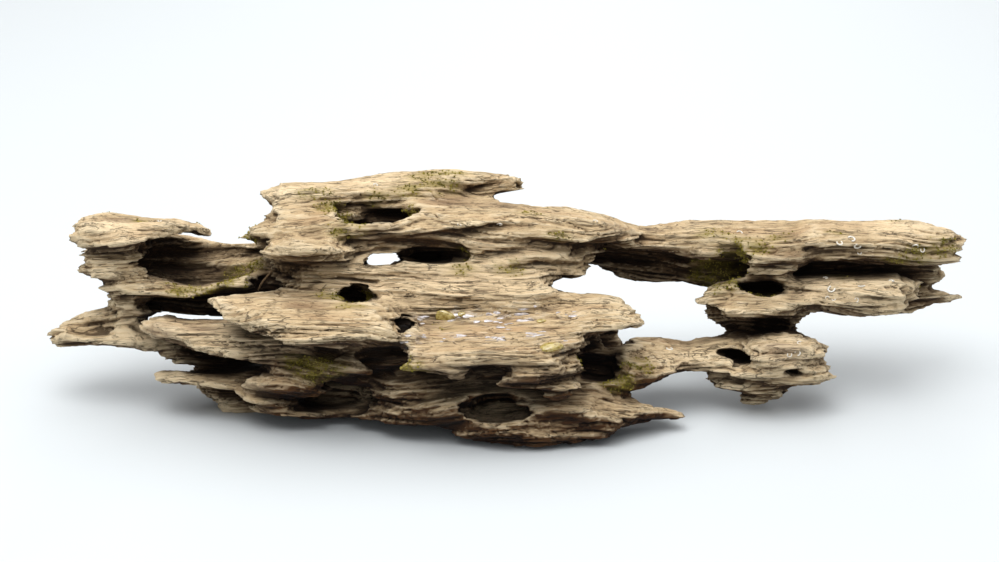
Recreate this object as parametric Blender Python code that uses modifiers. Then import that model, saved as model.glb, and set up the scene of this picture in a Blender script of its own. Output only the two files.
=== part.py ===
"""Honeycomb wood: one weathered, rotted-through piece of driftwood, built as one solid.

The grain runs along X. Every form is described as it is seen in the photograph, which looks along +Y
and down by VIEW_TILT: "across" and "up" are millimetres in the picture's plane, and "depth" is the
real distance away from the viewer along Y. Boards grow from these sections, hollows are cut from
them, and weathering then works grooves and ragged ends into the whole.
"""

import math

import bmesh
import bpy
import numpy as np
from mathutils import Matrix, Vector, noise

MM = 0.001
VIEW_TILT = math.radians(22)
VIEW_DISTANCE = 950
VIEW_CENTRE_UP = 62
VIEW_CENTRE_HEIGHT = 68.7

# How the boards and hollows are lofted, blended into one body and finished.
SECTION_SIDES = 16
RING_STEP = 5
THINNEST = 1
BOARD_SQUARENESS = 3.2
HOLLOW_SQUARENESS = 2.2
BLEND_VOXEL = 1.7
BLEND_ROUNDS = 3
CARVED_ROUNDS = 2
FINISH_VOXEL = 1.275
FINISH_ROUNDS = 1
SOLID_TRIANGLES = 11600
SOLE_HEIGHT = 1.4
GROUND_SIZE = 600

# Weathering, in mm. A size says how far the pattern runs along X, along Y and through the growth
# layers before it changes: ledges and strands run far along the grain and are thin across it.
LAYER_LEAN = 0.2
DRIFT_SIZE = (75, 45, 45)
DRIFT_DEPTH = 9
SWELL_SIZE = (40, 20, 13)
SWELL_DEPTH = 1.8
LEDGE_SIZE = (85, 30, 6.5)
LEDGE_DEPTH = 5.5
STRAND_SIZE = (50, 12, 2.9)
STRAND_DEPTH = 2.2
FURROW_SIZE = (60, 7, 20)
FURROW_DEPTH = 1.8
FIBRE_SIZE = (60, 8, 4.2)
FIBRE_PULL = 10
CREST_SHARPNESS = 2.6
STEEPNESS_GAIN = 1.7
FIBRE_END_POWER = 1.5

# Boards and logs along the grain. Each section: across, then the near edge (up, depth),
# then the far edge (up, depth), then the thickness between the two faces.
BOARDS = {
    "top_ridge": [
        (-119, 104, 38, 105, 44, 3), (-110, 103, 32, 109, 54, 8), (-88, 103, 30, 109, 62, 10),
        (-50, 104, 36, 112, 64, 12), (-25, 108, 40, 115, 66, 12), (-10, 110, 44, 115, 66, 9),
        (4, 111, 48, 115, 64, 6), (11, 112, 50, 114, 60, 4),
    ],
    "upper_slab": [
        (-121, 86, 14, 89, 22, 5), (-112, 85, 8, 98, 38, 11), (-75, 85, 4, 103, 50, 14),
        (-50, 86, 4, 103, 50, 14), (-20, 85, 4, 101, 50, 16), (10, 85, 4, 98, 48, 16),
        (35, 85, 6, 94, 44, 14), (52, 85, 10, 90, 42, 12), (70, 84, 20, 86, 40, 9),
    ],
    "core": [
        (-108, 66, 10, 80, 36, 20), (-95, 65, 2, 82, 46, 28), (-60, 65, 0, 82, 48, 32),
        (0, 66, 0, 82, 48, 34), (28, 67, 2, 82, 44, 30), (38, 70, 5, 82, 40, 20), (46, 71, 12, 80, 34, 8),
    ],
    "core_slope": [
        (-110, 58, 2, 66, 14, 5), (-98, 54, -6, 67, 14, 8), (-70, 49, -12, 67, 12, 10),
        (-40, 47, -15, 67, 10, 10), (-8, 48, -16, 69, 10, 10), (15, 49, -16, 69, 10, 10),
        (28, 52, -12, 67, 8, 8), (37, 56, -6, 64, 6, 5),
    ],
    "under_core": [
        (-108, 24, -16, 40, 20, 20), (-80, 22, -28, 46, 32, 36), (-40, 22, -30, 48, 38, 44),
        (0, 22, -30, 48, 38, 46), (30, 22, -28, 47, 34, 40), (48, 24, -18, 42, 22, 24),
    ],
    "left_roof": [
        (-214, 88, 14, 89, 20, 5), (-208, 86, 4, 93, 28, 9), (-198, 84, -2, 94, 34, 10),
        (-184, 81, -4, 92, 36, 12), (-176, 84, 0, 92, 40, 9), (-162, 87, 4, 91, 42, 8),
        (-150, 86, 10, 88, 38, 6), (-141, 83, 18, 85, 32, 3),
    ],
    "left_log": [
        (-206, 70, 6, 80, 30, 14), (-196, 68, 2, 80, 36, 22), (-182, 66, 2, 82, 40, 24),
        (-172, 62, 20, 85, 44, 18), (-160, 59, 32, 86, 47, 13), (-148, 58, 33, 85, 48, 12),
        (-138, 58, 34, 83, 48, 12), (-122, 60, 28, 82, 46, 15), (-106, 64, 12, 77, 42, 20),
    ],
    "left_prong": [
        (-212, 66, 6, 67, 12, 5), (-206, 65, 2, 70, 18, 8), (-199, 65, -2, 73, 24, 12),
        (-188, 60, -2, 74, 28, 18),
    ],
    "left_lip": [
        (-192, 56, -2, 66, 26, 16), (-180, 58, -5, 62, 26, 12), (-166, 58, -4, 58, 30, 8),
        (-148, 57, 0, 57, 36, 6), (-134, 59, 2, 59, 36, 7), (-120, 62, 4, 62, 34, 10),
    ],
    "slot_back": [
        (-188, 49, 8, 58, 34, 12), (-168, 50, 20, 58, 42, 11), (-150, 50, 18, 57, 42, 11),
        (-130, 50, 20, 57, 40, 12), (-108, 50, 16, 60, 36, 16),
    ],
    "lower_left_limb": [
        (-227, 31, 2, 33, 8, 5), (-220, 31, -2, 37, 18, 9), (-208, 33, -4, 41, 24, 14),
        (-196, 35, -4, 43, 26, 16), (-184, 35, -2, 42, 26, 16), (-172, 31, 2, 37, 24, 12),
        (-156, 28, 4, 33, 24, 10),
    ],
    "cream_plank": [
        (-177, 36, -18, 40, -4, 9), (-170, 35, -23, 41, 3, 10), (-160, 34, -26, 39, 8, 10),
        (-146, 30, -28, 38, 8, 14), (-130, 27, -32, 38, 10, 18), (-110, 25, -32, 38, 12, 20),
        (-88, 24, -30, 42, 14, 24),
    ],
    "low_prong": [
        (-172, 15, -14, 16, -6, 3), (-160, 13, -20, 16, 0, 8), (-142, 11, -24, 16, 4, 9),
        (-122, 11, -26, 17, 6, 12), (-100, 10, -28, 18, 8, 14),
    ],
    "lobe_top": [
        (-125, 11, -34, 13, -28, 5), (-118, 10, -40, 14, -22, 8), (-104, 10, -42, 16, -20, 10),
        (-88, 15, -42, 22, -16, 12), (-68, 18, -40, 28, -12, 14),
    ],
    "lobe_middle": [
        (-125, 4, -32, 5, -26, 4), (-117, 2, -38, 5, -22, 8), (-104, 3, -40, 6, -18, 8),
        (-92, 7, -38, 12, -16, 8),
    ],
    "lobe_low": [
        (-125, -3, -28, -1, -20, 4), (-112, -4, -34, 0, -14, 6), (-97, -7, -38, -2, -14, 6),
        (-80, -6, -38, -2, -14, 6), (-58, -4, -38, 0, -14, 8),
    ],
    "left_ledge": [
        (-152, 52, -20, 54, -14, 3), (-144, 50, -26, 54, -12, 6), (-134, 45, -36, 54, -6, 8),
        (-112, 37, -46, 54, 2, 12), (-88, 32, -51, 56, 10, 15), (-64, 32, -50, 56, 10, 15),
        (-50, 33, -45, 50, 4, 12), (-36, 33, -38, 45, 0, 9),
    ],
    "front_plank": [
        (-50, 25, -52, 31, -36, 7), (-43, 20, -57, 40, -14, 11), (-20, 19, -59, 47, -2, 13),
        (10, 19, -59, 48, 0, 14), (30, 19, -58, 51, 2, 13), (41, 33, -40, 53, 2, 11),
        (56, 38, -34, 53, 0, 10), (66, 40, -30, 49, -8, 8), (74, 39, -26, 42, -18, 4),
    ],
    "beak": [
        (-24, 14, -55, 19, -50, 5), (-12, 12, -57, 20, -48, 10), (10, 9, -57, 20, -46, 14),
        (25, 1, -56, 20, -44, 14), (36, 2, -55, 19, -42, 12), (43, 7, -53, 17, -44, 8),
        (49, 11, -52, 13, -48, 3),
    ],
    "keel": [
        (-63, -4, -36, 6, -30, 8), (-55, -7, -44, 10, -28, 16), (-30, -8, -50, 10, -26, 20),
        (-8, -13, -54, 6, -26, 22), (12, -15, -55, 4, -25, 24), (30, -15, -54, 3, -24, 24),
        (46, -12, -52, 3, -22, 20), (60, -9, -46, 1, -18, 13), (78, -7, -40, -2, -20, 9),
        (88, -7, -37, -4, -25, 7), (93, -8, -35, -5, -27, 6),
    ],
    "right_shell": [
        (34, 8, -34, 24, -8, 20), (50, 8, -34, 24, -6, 20), (62, 9, -32, 27, -4, 18),
        (74, 12, -26, 28, 0, 16), (86, 15, -16, 27, 6, 12),
    ],
    "bridge": [
        (64, 20, -16, 30, 8, 12), (80, 20, -13, 29, 10, 12), (95, 19, -13, 28, 10, 11),
        (108, 17, -14, 31, 12, 14), (122, 16, -16, 33, 14, 16), (140, 18, -14, 33, 16, 16),
    ],
    "block_top": [
        (122, 25, -16, 31, 6, 8), (130, 24, -21, 32, 10, 11), (143, 23, -23, 33, 12, 12),
        (155, 24, -20, 31, 12, 11), (162, 25, -12, 28, 4, 7),
    ],
    "block_right": [
        (124, 12, -14, 16, 6, 8), (140, 12, -19, 16, 8, 9), (154, 13, -19, 17, 8, 9),
        (162, 13, -17, 17, 4, 9), (165, 14, -12, 16, 0, 6),
    ],
    "block_low": [
        (107, 12, -10, 14, 2, 4), (116, 8, -16, 13, 6, 9), (128, 5, -18, 11, 6, 11),
        (138, 5, -18, 9, 4, 9), (148, 7, -13, 9, -4, 4),
    ],
    "block_foot": [
        (117, 3, -9, 5, 0, 4), (124, 2, -14, 4, 2, 6), (132, 2, -15, 4, 0, 6), (139, 3, -12, 4, -4, 3),
    ],
    "block_splinter": [
        (115, 17, -18, 18, -10, 3), (123, 15, -22, 18, -8, 6), (134, 14, -22, 17, -8, 6),
        (144, 12, -21, 14, -12, 3),
    ],
    "floor_beam": [
        (-66, 2, -20, 22, 16, 9), (-30, -4, -30, 20, 22, 14), (20, -4, -30, 20, 22, 16),
        (56, 4, -20, 20, 10, 11),
    ],
    "belly_back": [(-112, 8, 0, 26, 20, 12), (-85, 6, -4, 26, 22, 14), (-50, 4, -8, 24, 22, 14)],
    "ridge_underside": [
        (-34, 102, 44, 110, 62, 9), (-16, 106, 46, 111, 62, 9), (0, 108, 47, 111, 62, 8),
        (9, 109, 50, 111, 60, 6),
    ],
    "rear_keel": [
        (-74, 34, 28, 53, 42, 8), (-52, 29, 28, 54, 48, 18), (-16, 24, 30, 51, 52, 22),
        (18, 17, 34, 48, 54, 20), (36, 15, 35, 46, 55, 18), (54, 21, 38, 42, 52, 12),
        (66, 30, 40, 36, 46, 4),
    ],
    "rear_shelf": [
        (-108, 72, 38, 78, 52, 6), (-84, 68, 42, 84, 60, 14), (-40, 68, 44, 86, 62, 16),
        (0, 70, 44, 84, 60, 13), (28, 72, 42, 80, 54, 6),
    ],
    "neck_tongue": [
        (98, 52, 8, 53, 14, 3), (106, 53, 4, 56, 22, 8), (120, 55, 4, 60, 30, 12),
        (140, 56, 6, 62, 34, 14),
    ],
    "neck_shelf": [
        (113, 46, -4, 47, 4, 3), (120, 46, -8, 48, 14, 6), (134, 46, -8, 49, 20, 7),
        (146, 47, -4, 50, 22, 8), (156, 48, 4, 52, 26, 10),
    ],
    "right_log_top": [
        (56, 83, 22, 86, 48, 9), (75, 82, 20, 86, 52, 12), (98, 80, 18, 87, 54, 16),
        (122, 72, 8, 88, 56, 19), (148, 72, 8, 86, 56, 19), (153, 77, 12, 86, 56, 18),
        (172, 77, 13, 86, 56, 18), (195, 77, 14, 86, 54, 18), (213, 77, 16, 86, 52, 18),
        (222, 76, 18, 83, 48, 17), (229, 76, 22, 82, 44, 13), (233, 77, 28, 80, 40, 7),
    ],
    "right_log_low": [
        (136, 54, 12, 60, 42, 16), (160, 53, 4, 59, 42, 18), (182, 52, 2, 59, 42, 20),
        (199, 53, 4, 59, 42, 18), (207, 55, 12, 58, 36, 10),
    ],
    "right_back_wall": [
        (100, 62, 36, 84, 46, 12), (140, 56, 36, 84, 48, 14), (180, 56, 36, 84, 48, 14),
        (212, 56, 36, 82, 46, 12), (219, 60, 38, 76, 44, 6),
    ],
    "right_prong": [
        (190, 50, 24, 54, 44, 10), (208, 51, 24, 54, 42, 9), (222, 52, 28, 54, 38, 7),
        (233, 53, 33, 53, 36, 3),
    ],
    "arch_back_wall": [
        (36, 73, 40, 85, 48, 12), (50, 69, 42, 85, 50, 13), (62, 64, 44, 85, 52, 13),
        (76, 62, 44, 85, 52, 13), (92, 62, 42, 85, 52, 13), (106, 58, 36, 81, 50, 14),
    ],
    "long_tongue": [
        (-124, 75, -2, 76, 6, 3), (-116, 75, -9, 79, 10, 8), (-104, 75, -13, 81, 12, 11),
        (-88, 75, -13, 79, 12, 11), (-76, 75, -9, 77, 10, 8), (-66, 73, -2, 74, 8, 4),
    ],
    "moss_spike": [
        (-137, 84, 20, 84, 22, 1), (-129, 81, 16, 84, 26, 4), (-120, 80, 12, 86, 30, 8),
        (-108, 82, 10, 90, 34, 12),
    ],
}

# Upright walls and feet. Each section: up, then left and right, then near and far depth.
WALLS = {
    "left_neck": [
        (34, -200, -176, 0, 24), (46, -193, -177, 2, 24), (54, -191, -176, 0, 24),
        (64, -201, -172, -2, 28), (74, -207, -176, 1, 30), (84, -207, -178, 2, 30),
    ],
    "left_inner_wall": [
        (8, -146, -112, -6, 16), (18, -156, -112, -2, 22), (28, -166, -116, 4, 26),
        (38, -176, -124, 8, 28),
    ],
    "left_foot": [
        (-3, -135, -112, -12, 6), (0, -138, -106, -13, 8), (4, -141, -96, -12, 12),
        (10, -147, -88, -10, 18),
    ],
    "belly_wall": [(-1, -100, -57, -15, -5), (6, -104, -54, -14, 2), (16, -108, -50, -10, 10)],
    "right_neck": [
        (28, 110, 152, 4, 24), (38, 109, 152, 8, 28), (44, 105, 153, 12, 34), (52, 104, 156, 12, 40),
        (60, 104, 160, 12, 44),
    ],
}

# Rotted hollows bored from the front. Each section: depth, then left, right, bottom and top as seen.
BORES = {
    "left_window": [
        (-22, -179, -120, 62, 86), (8, -178, -120, 62, 86), (24, -174, -122, 62, 83),
        (32, -166, -126, 64, 78),
    ],
    "mouth": [(-14, -76, -11, 71, 88), (2, -74, -12, 71, 87), (10, -66, -18, 73, 84)],
    "left_cave": [(-16, -129, -104, 58, 72), (6, -128, -104, 58, 71), (17, -124, -104, 60, 70)],
    "moss_gully": [(-12, 104, 124, 64, 80), (12, 104, 126, 62, 80), (26, 108, 124, 62, 77)],
    "ridge_end": [(26, -20, 14, 106, 112), (40, -18, 14, 106, 112), (47, -12, 9, 107, 111)],
    "scoop": [(-18, -222, -192, 34, 47), (2, -220, -192, 34, 46), (10, -214, -195, 36, 44)],
    "window": [(-16, -73, -47, 68.5, 76.5), (20, -72, -47, 68.5, 76.5), (80, -73, -46, 67, 77)],
    "dark_slot": [(-14, -52, -18, 70, 79), (10, -52, -18, 70, 79), (28, -46, -24, 71, 78)],
    "small_hole": [(-44, -83, -63, 50, 60), (-2, -83, -63, 50, 60), (14, -80, -66, 51, 59)],
    "belly_hollow": [(-60, -97, -61, -8, 12), (-36, -96, -62, -7, 11), (-24, -88, -70, -2, 8)],
    "gap_notch": [(-66, -54, -44, 31, 45), (-40, -53, -44, 32, 44), (-20, -50, -45, 34, 42)],
    "front_scoop": [(-70, -21, 7, 11, 20), (-54, -20, 7, 11, 20), (-42, -14, 0, 13, 18)],
    "under_beak": [(-64, -19, 17, -10, 8), (-46, -18, 16, -9, 8), (-32, -10, 12, -5, 6)],
    "right_hollow": [(-60, 36, 66, 10, 33), (-34, 36, 66, 10, 33), (-14, 40, 60, 13, 31)],
    "log_recess": [(-12, 118, 146, 54, 64), (14, 120, 146, 55, 64), (28, 124, 142, 56, 62)],
    "neck_recess": [(-20, 121, 148, 37, 44), (8, 121, 148, 37, 44), (20, 125, 144, 38, 43)],
    "block_hole": [(-30, 113, 127, 19, 27), (-14, 113, 127, 19, 27), (2, 116, 125, 20, 26)],
    "end_recess": [(-10, 206, 224, 57, 69), (26, 204, 224, 57, 69), (34, 206, 222, 58, 68)],
    "rear_pocket": [(40, -58, -28, 71, 82), (56, -64, -22, 68, 84), (90, -66, -20, 66, 88)],
    "rear_cleft": [(46, 134, 170, 80, 87), (60, 128, 176, 79, 88), (90, 126, 178, 78, 90)],
    "rear_burrow": [(34, -6, 18, 44, 54), (52, -10, 22, 42, 56), (90, -14, 24, 40, 58)],
    "core_notch": [(-14, 24, 38, 55, 65), (10, 25, 38, 55, 65), (20, 28, 36, 57, 63)],
}

# Hollows bored from above. Each section: up at depth zero, then left and right, then near and far depth.
SHAFTS = {
    "top_hole": [
        (118, -80, -42, 9, 36), (96, -80, -42, 9, 36), (88, -78, -42, 10, 37), (76, -70, -50, 14, 34),
    ],
}


def seen(across, up, depth):
    """World point, in mm, of a place in the photograph at a given depth."""
    sine, cosine = math.sin(VIEW_TILT), math.cos(VIEW_TILT)
    rise = up - VIEW_CENTRE_UP
    height = rise * (1 + depth * cosine / VIEW_DISTANCE) - depth * sine
    height /= cosine + rise * sine / VIEW_DISTANCE
    away = 1 + (depth * cosine - height * sine) / VIEW_DISTANCE
    return np.array([across * away, depth, VIEW_CENTRE_HEIGHT + height])


def smooth_sections(sections):
    """The sections with more between them, on a Catmull-Rom curve through the given ones."""
    rows = np.array(sections, float)
    padded = np.vstack([2 * rows[0] - rows[1], rows, 2 * rows[-1] - rows[-2]])
    made = []
    for a, b, c, d in zip(padded, padded[1:], padded[2:], padded[3:]):
        steps = max(2, round(abs(c[0] - b[0]) / RING_STEP))
        for t in np.arange(steps) / steps:
            bend = (2 * a - 5 * b + 4 * c - d) * t**2 + (3 * b - a - 3 * c + d) * t**3
            made.append(0.5 * (2 * b + (c - a) * t + bend))
    made.append(rows[-1])
    return made


def unit_section(squareness):
    """Points round a superellipse of half size 1, as two columns."""
    angle = np.arange(SECTION_SIDES) * 2 * math.pi / SECTION_SIDES
    power = 2 / squareness
    cosine, sine = np.cos(angle), np.sin(angle)
    return np.sign(cosine) * abs(cosine) ** power, np.sign(sine) * abs(sine) ** power


def board_ring(section, squareness):
    """A cross-section of a board, from its near edge to its far edge."""
    across, near_up, near_depth, far_up, far_depth, thickness = section
    near = seen(across, near_up, near_depth)
    far = seen(across, far_up, far_depth)
    half_width = (far - near) / 2
    half_width[0] = 0
    along_width = half_width / np.linalg.norm(half_width)
    half_thickness = np.array([0, -along_width[2], along_width[1]]) * max(thickness, THINNEST) / 2
    u, v = unit_section(squareness)
    return (near + far) / 2 + np.outer(u, half_width) + np.outer(v, half_thickness)


def wall_ring(section, squareness):
    """A level cross-section of an upright wall."""
    up, left, right, near, far = section
    middle = seen((left + right) / 2, up, (near + far) / 2)
    half_width = np.array([(right - left) / 2, 0, 0])
    half_depth = np.array([0, (far - near) / 2, 0])
    u, v = unit_section(squareness)
    return middle + np.outer(u, half_width) + np.outer(v, half_depth)


def bore_ring(section, squareness):
    """An upright cross-section of a hollow that runs away from the viewer."""
    depth, left, right, bottom, top = section
    middle = seen((left + right) / 2, (bottom + top) / 2, depth)
    half_width = np.array([(right - left) / 2, 0, 0])
    half_height = np.array([0, 0, (top - bottom) / 2 / math.cos(VIEW_TILT)])
    u, v = unit_section(squareness)
    return middle + np.outer(u, half_width) + np.outer(v, half_height)


def loft(name, rings, collection):
    """A closed mesh object through rings of points, in mm, capped at both ends."""
    body = bmesh.new()
    made = [[body.verts.new(point * MM) for point in ring] for ring in rings]
    for ring, following in zip(made, made[1:]):
        for i in range(SECTION_SIDES):
            j = (i + 1) % SECTION_SIDES
            body.faces.new((ring[i], ring[j], following[j], following[i]))
    body.faces.new(made[0])
    body.faces.new(made[-1])
    bmesh.ops.recalc_face_normals(body, faces=body.faces)
    mesh = bpy.data.meshes.new(name)
    body.to_mesh(mesh)
    body.free()
    obj = bpy.data.objects.new(name, mesh)
    collection.objects.link(obj)
    return obj


def new_collection(name):
    collection = bpy.data.collections.new(name)
    bpy.context.scene.collection.children.link(collection)
    return collection


def grow(collection):
    """All boards and walls, as overlapping closed meshes."""
    for name, sections in BOARDS.items():
        loft(name, [board_ring(s, BOARD_SQUARENESS) for s in smooth_sections(sections)], collection)
    for name, sections in WALLS.items():
        loft(name, [wall_ring(s, BOARD_SQUARENESS) for s in smooth_sections(sections)], collection)


def rot(collection):
    """All hollows, as closed cutters that stay out of a render."""
    for name, sections in BORES.items():
        loft(name, [bore_ring(s, HOLLOW_SQUARENESS) for s in smooth_sections(sections)], collection)
    for name, sections in SHAFTS.items():
        loft(name, [wall_ring(s, HOLLOW_SQUARENESS) for s in smooth_sections(sections)], collection)
    for cutter in collection.objects:
        hide_as_cutter(cutter)


def hide_as_cutter(obj):
    obj.hide_render = True
    obj.display_type = "WIRE"


def evaluated_mesh(obj):
    bpy.context.view_layer.update()
    graph = bpy.context.evaluated_depsgraph_get()
    return bpy.data.meshes.new_from_object(obj.evaluated_get(graph))


def bake(obj):
    """Replaces the object's mesh with what its modifiers make of it."""
    mesh = evaluated_mesh(obj)
    obj.modifiers.clear()
    obj.data = mesh


def remesh(obj, voxel):
    """Fuses all that overlaps into one skin of even faces."""
    modifier = obj.modifiers.new("blend", "REMESH")
    modifier.mode = "VOXEL"
    modifier.voxel_size = voxel * MM
    bake(obj)


def soften(obj, rounds, factor=0.5):
    modifier = obj.modifiers.new("soften", "SMOOTH")
    modifier.factor = factor
    modifier.iterations = rounds
    bake(obj)


def keep_largest_body(obj):
    """Drops the loose scraps that erosion leaves beside the main body."""
    body = bmesh.new()
    body.from_mesh(obj.data)
    body.verts.ensure_lookup_table()
    unseen = set(range(len(body.verts)))
    largest = set()
    while unseen:
        start = unseen.pop()
        group, front = {start}, [start]
        while front:
            vertex = body.verts[front.pop()]
            for edge in vertex.link_edges:
                other = edge.other_vert(vertex).index
                if other in unseen:
                    unseen.discard(other)
                    group.add(other)
                    front.append(other)
        if len(group) > len(largest):
            largest = group
    scraps = [v for v in body.verts if v.index not in largest]
    bmesh.ops.delete(body, geom=scraps, context="VERTS")
    body.to_mesh(obj.data)
    body.free()


def pattern(place, size, offset=0):
    """Smooth noise that is stretched to a size, in mm, along each axis."""
    return noise.noise(Vector(offset + p / s for p, s in zip(place, size)))


def crest(value):
    """1 along the lines where the noise crosses zero, and falling away on both sides."""
    return 1 - CREST_SHARPNESS * abs(value)


def weather(obj):
    """Ledges along the grain, soft swells, and fibres that end at uneven lengths."""
    mesh = obj.data
    count = len(mesh.vertices)
    places = np.empty(count * 3, np.float32)
    mesh.vertices.foreach_get("co", places)
    places = places.reshape(-1, 3).astype(float) / MM
    normals = np.empty(count * 3, np.float32)
    mesh.vertices.foreach_get("normal", normals)
    normals = normals.reshape(-1, 3).astype(float)
    moved = places.copy()
    for i, (x, y, z) in enumerate(places):
        drift = DRIFT_DEPTH * pattern((x, y, z), DRIFT_SIZE)
        layer = z + LAYER_LEAN * y + drift
        swell = SWELL_DEPTH * pattern((x, y, z), SWELL_SIZE)
        furrow = FURROW_DEPTH * pattern((x, y + drift, z), FURROW_SIZE, 30)
        ledge = LEDGE_DEPTH * (crest(pattern((x, y, layer), LEDGE_SIZE)) - 0.5)
        strand = STRAND_DEPTH * (crest(pattern((x, y, layer), STRAND_SIZE, 7)) - 0.5)
        pull = FIBRE_PULL * pattern((x, y, layer), FIBRE_SIZE, 11)
        level = max(math.hypot(normals[i, 0], normals[i, 1]), 0.01)
        outward = min(1, STEEPNESS_GAIN * level) * (ledge + strand)
        moved[i] += normals[i] * (swell + furrow * normals[i, 2] ** 2)
        moved[i, :2] += normals[i, :2] / level * outward
        moved[i, 0] += pull * abs(normals[i, 0]) ** FIBRE_END_POWER
    mesh.vertices.foreach_set("co", (moved * MM).astype(np.float32).ravel())
    mesh.update()


def carve(obj, cutters):
    """Cuts every mesh of the cutters' collection out of the object."""
    modifier = obj.modifiers.new("rot", "BOOLEAN")
    modifier.operation = "DIFFERENCE"
    modifier.operand_type = "COLLECTION"
    modifier.collection = cutters
    bake(obj)


def join(collection, name):
    """One object holding every mesh of the collection."""
    body = bmesh.new()
    for obj in list(collection.objects):
        body.from_mesh(obj.data)
        bpy.data.objects.remove(obj)
    mesh = bpy.data.meshes.new(name)
    body.to_mesh(mesh)
    body.free()
    obj = bpy.data.objects.new(name, mesh)
    collection.objects.link(obj)
    return obj


def flatten_feet(obj, cutters):
    """Cuts the three feet off flat, so that the wood stands without rocking."""
    size = GROUND_SIZE * MM
    bpy.ops.mesh.primitive_cube_add(size=size, location=(0, 0, SOLE_HEIGHT * MM - size / 2))
    ground = bpy.context.object
    ground.name = "ground"
    for holder in list(ground.users_collection):
        holder.objects.unlink(ground)
    cutters.objects.link(ground)
    hide_as_cutter(ground)
    modifier = obj.modifiers.new("feet", "BOOLEAN")
    modifier.operation = "DIFFERENCE"
    modifier.object = ground
    bake(obj)


def centre_on_base(obj, cutters):
    """Moves the wood so that the middle of its footprint, on the floor, is the origin."""
    corners = [Vector(corner) for corner in obj.bound_box]
    low = Vector(min(corner[i] for corner in corners) for i in range(3))
    high = Vector(max(corner[i] for corner in corners) for i in range(3))
    middle = (low + high) / 2
    shift = Vector((-middle.x, -middle.y, -low.z))
    obj.data.transform(Matrix.Translation(shift))
    for cutter in cutters.objects:
        cutter.location += shift


def thin_out(obj, triangles):
    """Merges faces where the surface is flattest, down to about this many triangles."""
    obj.data.calc_loop_triangles()
    modifier = obj.modifiers.new("thin_out", "DECIMATE")
    modifier.ratio = triangles / len(obj.data.loop_triangles)
    bake(obj)


def wood_material():
    material = bpy.data.materials.new("weathered_wood")
    material.use_nodes = True
    shader = material.node_tree.nodes["Principled BSDF"]
    shader.inputs["Base Color"].default_value = (0.42, 0.33, 0.22, 1)
    shader.inputs["Roughness"].default_value = 0.85
    shader.inputs["Metallic"].default_value = 0
    return material


def build_wood(triangles):
    grown, cutters = new_collection("honeycomb_wood"), new_collection("hollows")
    grow(grown)
    wood = join(grown, "honeycomb_wood")
    remesh(wood, BLEND_VOXEL)
    soften(wood, BLEND_ROUNDS)
    rot(cutters)
    carve(wood, cutters)
    remesh(wood, BLEND_VOXEL)
    soften(wood, CARVED_ROUNDS)
    weather(wood)
    remesh(wood, FINISH_VOXEL)
    keep_largest_body(wood)
    soften(wood, FINISH_ROUNDS)
    thin_out(wood, triangles)
    flatten_feet(wood, cutters)
    centre_on_base(wood, cutters)
    wood.data.materials.append(wood_material())
    wood.data.shade_smooth()
    return wood


def main():
    for obj in list(bpy.data.objects):
        bpy.data.objects.remove(obj)
    build_wood(SOLID_TRIANGLES)


if __name__ == "__main__":
    main()
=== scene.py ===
import math
from contextlib import contextmanager

import bpy
import numpy as np
from mathutils import Matrix, Vector
from mathutils.bvhtree import BVHTree


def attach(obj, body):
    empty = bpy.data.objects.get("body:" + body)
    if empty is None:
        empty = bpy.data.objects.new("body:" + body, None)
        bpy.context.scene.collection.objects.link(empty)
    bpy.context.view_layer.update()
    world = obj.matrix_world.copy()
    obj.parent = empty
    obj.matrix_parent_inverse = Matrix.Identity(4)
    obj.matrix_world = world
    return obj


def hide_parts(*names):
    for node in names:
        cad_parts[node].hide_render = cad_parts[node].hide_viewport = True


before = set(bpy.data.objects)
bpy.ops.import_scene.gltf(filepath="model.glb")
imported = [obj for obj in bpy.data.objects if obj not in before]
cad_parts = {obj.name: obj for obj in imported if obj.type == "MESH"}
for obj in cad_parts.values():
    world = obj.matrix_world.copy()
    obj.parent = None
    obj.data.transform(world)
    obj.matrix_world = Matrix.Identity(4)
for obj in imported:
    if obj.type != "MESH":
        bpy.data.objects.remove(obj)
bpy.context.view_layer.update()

# The camera stands in front of the wood at the photograph's angle, 22 degrees above level and
# 0.95 m away. A place in the picture is named by millimetres across from the picture's middle
# and up from the level line of the floor, at half a millimetre for each picture pixel.
VIEW_TILT = math.radians(22)
VIEW_DISTANCE = 0.95
VIEW_MIDDLE = Vector((-0.0055, -0.0030, 0.0673))
VIEW_MIDDLE_UP = 62
PICTURE_WIDTH = 0.4995
SENSOR_WIDTH = 36

look = Vector((0, math.cos(VIEW_TILT), -math.sin(VIEW_TILT)))
up_in_view = Vector((0, math.sin(VIEW_TILT), math.cos(VIEW_TILT)))
eye = VIEW_MIDDLE - look * VIEW_DISTANCE
camera = bpy.data.objects.new("camera", bpy.data.cameras.new("camera"))
bpy.context.scene.collection.objects.link(camera)
camera.data.sensor_width = SENSOR_WIDTH
camera.data.lens = SENSOR_WIDTH * VIEW_DISTANCE / PICTURE_WIDTH
camera.data.clip_start = 0.01
camera.location = eye
camera.rotation_mode = "QUATERNION"
camera.rotation_quaternion = look.to_track_quat("-Z", "Y")
bpy.context.scene.camera = camera
bpy.context.scene.view_settings.view_transform = "Standard"


def sight_line(across, up):
    """The direction from the eye through a place in the picture, given in millimetres."""
    target = VIEW_MIDDLE + Vector((across, 0, 0)) / 1000 + up_in_view * (up - VIEW_MIDDLE_UP) / 1000
    return (target - eye).normalized()


# The wood is one grown piece, rotted through along its grain. The solid gives its form, and this
# finer copy adds what water and insects wore into the surface: growth layers that stand out as
# thin ledges, fibres along X that end at uneven lengths, long cracks, and small pits.
COARSE_VOXEL = 0.0012
FINE_VOXEL = 0.00085
DOUBLES = 1e-6
WOOD_TRIANGLES = 197000
LARGEST_HOLE_SIDES = 6

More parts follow.
